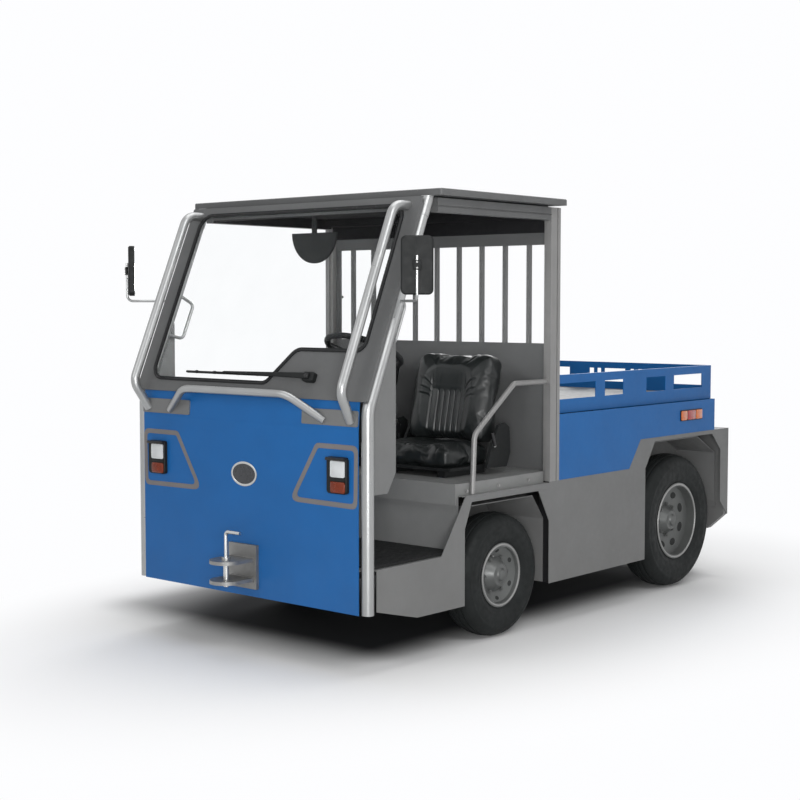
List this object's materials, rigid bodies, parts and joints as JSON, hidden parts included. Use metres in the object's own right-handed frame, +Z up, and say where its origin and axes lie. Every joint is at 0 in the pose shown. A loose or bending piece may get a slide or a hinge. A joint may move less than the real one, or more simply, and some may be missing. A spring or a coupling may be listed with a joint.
{
  "type": "airport baggage tug",
  "caption": "Electric airport tow tractor with an open cab, a leaning windscreen behind a tube guard, twin seats, a slotted load tray and a drop-pin hitch at each end.",
  "frame": {"origin": "on the ground, in the middle of the whole vehicle's length and width", "axes": "+Z up, the front faces -Y, the vehicle's left side (the driver's) is +X"},
  "size_m": [1.9604, 3.517, 2.087],
  "materials": {
    "blue_paint": "semi_gloss",
    "grey_paint": "satin",
    "tube_steel": "semi_gloss",
    "black_plastic": "matte",
    "lamp_lens": "gloss",
    "glass": "clear",
    "rubber": "matte",
    "tyre": "matte",
    "rim_paint": "satin",
    "vinyl": "satin",
    "under_paint": "satin",
    "forged_steel": "satin"
  },
  "bodies": {
    "chassis": {"frame": "under_paint", "front_panel": "blue_paint", "headlamps": "lamp_lens", "marker_lamps": "lamp_lens", "corner_posts": "tube_steel", "mirrors": "black_plastic", "windscreen_guard": "tube_steel", "windscreen_frame": "grey_paint", "windscreen": "glass", "windscreen_seal": "rubber", "roof_plate": "grey_paint", "roof_frame": "grey_paint", "rear_posts": "grey_paint", "rear_wall": "grey_paint", "window_bars": "grey_paint", "cab_floor": "grey_paint", "floor_mat": "rubber", "seat_platform": "grey_paint", "seat_cushions": "vinyl", "seat_backs": "vinyl", "seat_bases": "black_plastic", "dashboard": "black_plastic", "pedals": "black_plastic", "front_skirts": "grey_paint", "leg_shields": "grey_paint", "wheel_wells": "grey_paint", "side_panels": "grey_paint", "body_sides": "blue_paint", "deck": "grey_paint", "tray_sides": "blue_paint", "tail_board": "blue_paint", "rear_bumper": "grey_paint", "front_hitch": "forged_steel", "rear_hitch": "forged_steel", "front_axle": "under_paint", "rear_axle": "under_paint", "springs": "under_paint", "battery": "black_plastic", "cab_mirror": "black_plastic", "wiper": "black_plastic"},
    "steering_wheel": {"steering_wheel": "black_plastic"},
    "knuckle_left": {"knuckle_left": "under_paint"},
    "knuckle_right": {"knuckle_right": "under_paint"},
    "tie_rod": {"tie_rod": "under_paint"},
    "front_hitch_pin": {"front_hitch_pin": "forged_steel"},
    "rear_hitch_pin": {"rear_hitch_pin": "forged_steel"},
    "wheel_front_left": {"tyre_front_left": "tyre", "rim_front_left": "rim_paint"},
    "wheel_front_right": {"tyre_front_right": "tyre", "rim_front_right": "rim_paint"},
    "wheel_rear_left": {"tyre_rear_left": "tyre", "rim_rear_left": "rim_paint"},
    "wheel_rear_right": {"tyre_rear_right": "tyre", "rim_rear_right": "rim_paint"}
  },
  "joints": [
    {"name": "knuckle_left_turn", "type": "hinge", "parent": "chassis", "child": "knuckle_left", "pos_m": [0.6, -0.5615, 0.297], "axis": [0, 0, 1], "range_deg": [-30, 30]},
    {"name": "knuckle_right_turn", "type": "hinge", "parent": "chassis", "child": "knuckle_right", "pos_m": [-0.6, -0.5615, 0.297], "axis": [0, 0, 1], "range_deg": [-30, 30]},
    {"name": "steering_wheel_turn", "type": "hinge", "parent": "chassis", "child": "steering_wheel", "pos_m": [0.325, -1.1185, 1.368], "axis": [0, 0.4226, 0.9063], "range_deg": [-540, 540]},
    {"name": "tie_rod_pivot", "type": "hinge", "parent": "knuckle_left", "child": "tie_rod", "pos_m": [0.555, -0.4765, 0.235], "axis": [0, 0, 1], "range_deg": [-33, 33]},
    {"name": "front_hitch_pin_lift", "type": "slide", "parent": "chassis", "child": "front_hitch_pin", "axis": [0, 0, 1], "range_m": [0, 0.112]},
    {"name": "rear_hitch_pin_lift", "type": "slide", "parent": "chassis", "child": "rear_hitch_pin", "axis": [0, 0, 1], "range_m": [0, 0.112]},
    {"name": "wheel_front_left_spin", "type": "hinge", "parent": "knuckle_left", "child": "wheel_front_left", "pos_m": [0.6275, -0.5615, 0.297], "axis": [1, 0, 0], "continuous": true},
    {"name": "wheel_front_right_spin", "type": "hinge", "parent": "knuckle_right", "child": "wheel_front_right", "pos_m": [-0.6275, -0.5615, 0.297], "axis": [1, 0, 0], "continuous": true},
    {"name": "wheel_rear_left_spin", "type": "hinge", "parent": "chassis", "child": "wheel_rear_left", "pos_m": [0.6175, 1.0785, 0.373], "axis": [1, 0, 0], "continuous": true},
    {"name": "wheel_rear_right_spin", "type": "hinge", "parent": "chassis", "child": "wheel_rear_right", "pos_m": [-0.6175, 1.0785, 0.373], "axis": [1, 0, 0], "continuous": true}
  ],
  "couplings": [
    {"joint": "knuckle_right_turn", "follows": "knuckle_left_turn", "ratio": 1},
    {"joint": "steering_wheel_turn", "follows": "knuckle_left_turn", "ratio": 18},
    {"joint": "tie_rod_pivot", "follows": "knuckle_left_turn", "ratio": -1.0766}
  ]
}
